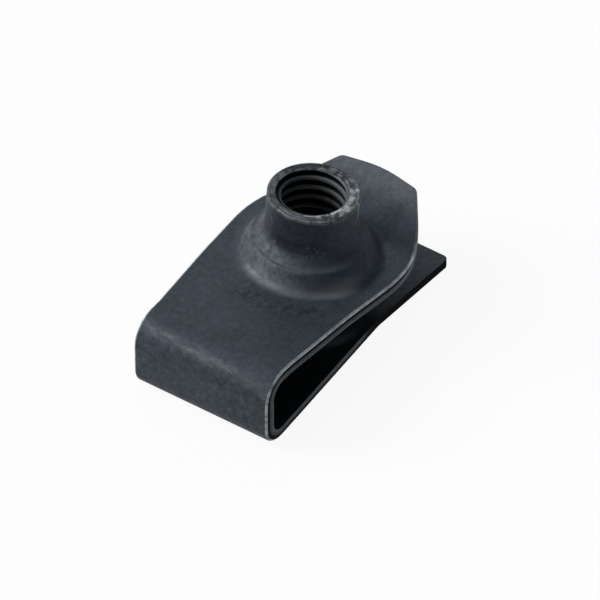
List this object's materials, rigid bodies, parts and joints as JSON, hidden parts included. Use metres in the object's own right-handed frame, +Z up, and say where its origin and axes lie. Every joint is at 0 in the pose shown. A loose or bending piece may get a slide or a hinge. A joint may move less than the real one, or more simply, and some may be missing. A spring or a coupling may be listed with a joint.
{
  "type": "u clip speed nut",
  "caption": "Folded spring-steel clip with two leaves that grip a panel edge and a tapped barrel that takes a machine screw.",
  "frame": {"origin": "middle of the bounding box's bottom, with the clip resting on its bottom bend and its lead-in lip", "axes": "+X from the fold to the leaves' tips, +Y across the strip, +Z up out of the barrel's side"},
  "size_m": [0.0204, 0.011, 0.0098],
  "materials": {
    "oxide_steel": "dark blue-grey oxide, matte"
  },
  "bodies": {
    "root": {"clip_nut": "oxide_steel"}
  },
  "joints": []
}
